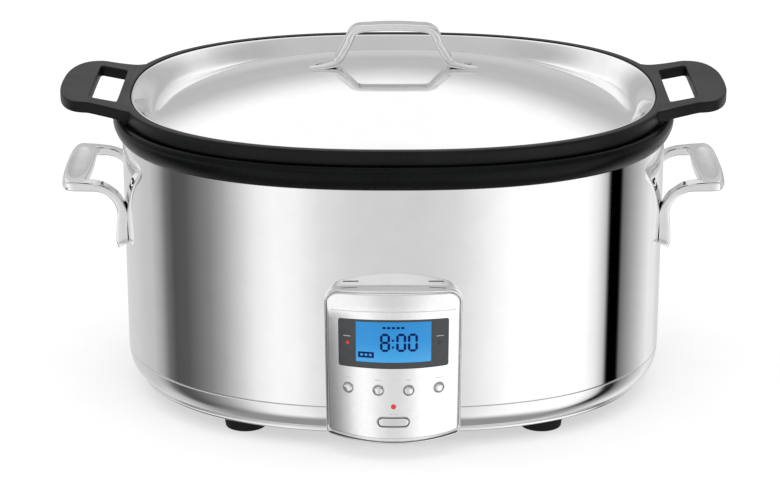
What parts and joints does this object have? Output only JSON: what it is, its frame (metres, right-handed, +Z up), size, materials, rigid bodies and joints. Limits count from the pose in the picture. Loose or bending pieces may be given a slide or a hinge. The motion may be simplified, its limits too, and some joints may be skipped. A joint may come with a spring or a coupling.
{
  "type": "slow cooker",
  "caption": "Oval programmable slow cooker with polished housing, lift-out cast insert, domed metal lid, bent side handles and a curved display panel.",
  "frame": {"origin": "on the table, under the middle of the whole appliance's outline", "axes": "+X along the longer side towards the right carrying handle, +Y towards the back, +Z up; the control panel faces -Y"},
  "size_m": [0.477, 0.3494, 0.263],
  "materials": {
    "polished_steel": "mirror-polished stainless sheet",
    "satin_steel": "polished stainless sheet",
    "lid_steel": "mirror-polished stainless pressing",
    "base_black": "black powder coat",
    "collar_black": "satin black moulded plastic",
    "liner_steel": "plain pressed sheet",
    "mica": "bonded mica sheet",
    "zinc": "bright zinc plate",
    "brass_part": "plain",
    "ceramic_white": "glazed",
    "foot_rubber": "matte",
    "grommet_black": "matte",
    "ivory_plastic": "moulded nylon",
    "circuit_green": "solder mask on glass laminate",
    "coil_black": "moulded",
    "relay_blue": "moulded",
    "cable_grey": "flat cable",
    "cast_chrome": "polished casting",
    "panel_silver": "fine silver lacquer",
    "window_grey": "smoked printed lens",
    "screen_blue": "backlit display",
    "screen_white": "backlight housing",
    "button_chrome": "plated ring",
    "button_silver": "plated cap",
    "lamp_red": "lit indicator",
    "lamp_off": "unlit indicator",
    "insert_black": "dark non-stick coating on a casting"
  },
  "bodies": {
    "housing": {"front_wall": "polished_steel", "back_wall": "polished_steel", "base_skirt": "satin_steel", "base_plate": "base_black", "collar_ring": "collar_black", "inner_liner": "liner_steel", "heater_band": "mica", "band_strap": "zinc", "thermistor": "brass_part", "thermal_fuse": "ceramic_white", "tie_studs": "zinc", "tie_nuts": "zinc", "feet": "foot_rubber", "foot_screws": "zinc", "cord_grommet": "grommet_black", "terminal_block": "ivory_plastic", "power_board": "circuit_green", "board_standoffs": "ivory_plastic", "transformer": "coil_black", "relay": "relay_blue", "capacitor": "coil_black", "ribbon_cable": "cable_grey", "left_handle": "cast_chrome", "right_handle": "cast_chrome", "handle_screws": "zinc", "panel_tray": "panel_silver", "panel_screws": "zinc", "faceplate": "panel_silver", "display_window": "window_grey", "lcd_glass": "screen_blue", "lcd_module": "screen_white", "control_board": "circuit_green", "switch_carrier": "ivory_plastic", "tact_switches": "coil_black", "button_bezels": "button_chrome", "power_bezel": "button_chrome", "red_indicators": "lamp_red", "dark_indicator": "lamp_off"},
    "insert": {"crock": "insert_black"},
    "lid": {"lid_shell": "lid_steel", "lid_handle": "cast_chrome", "lid_rivets": "zinc"},
    "button_1": {"button_1": "button_silver"},
    "button_2": {"button_2": "button_silver"},
    "button_3": {"button_3": "button_silver"},
    "button_4": {"button_4": "button_silver"},
    "power_button": {"power_button": "button_silver"}
  },
  "joints": [
    {"name": "insert_lift", "type": "slide", "parent": "housing", "child": "insert", "axis": [0, 0, 1], "range_m": [0, 0.15]},
    {"name": "lid_lift", "type": "slide", "parent": "insert", "child": "lid", "axis": [0, 0, 1], "range_m": [0, 0.09]},
    {"name": "button_1_press", "type": "slide", "parent": "housing", "child": "button_1", "axis": [0.3942, 0.919, 0], "range_m": [0, 0.001], "stiffness_N_per_m": 400},
    {"name": "button_2_press", "type": "slide", "parent": "housing", "child": "button_2", "axis": [0.1314, 0.9913, 0], "range_m": [0, 0.001], "stiffness_N_per_m": 400},
    {"name": "button_3_press", "type": "slide", "parent": "housing", "child": "button_3", "axis": [-0.1314, 0.9913, 0], "range_m": [0, 0.001], "stiffness_N_per_m": 400},
    {"name": "button_4_press", "type": "slide", "parent": "housing", "child": "button_4", "axis": [-0.3942, 0.919, 0], "range_m": [0, 0.001], "stiffness_N_per_m": 400},
    {"name": "power_press", "type": "slide", "parent": "housing", "child": "power_button", "axis": [0, 1, 0], "range_m": [0, 0.001], "stiffness_N_per_m": 400}
  ]
}
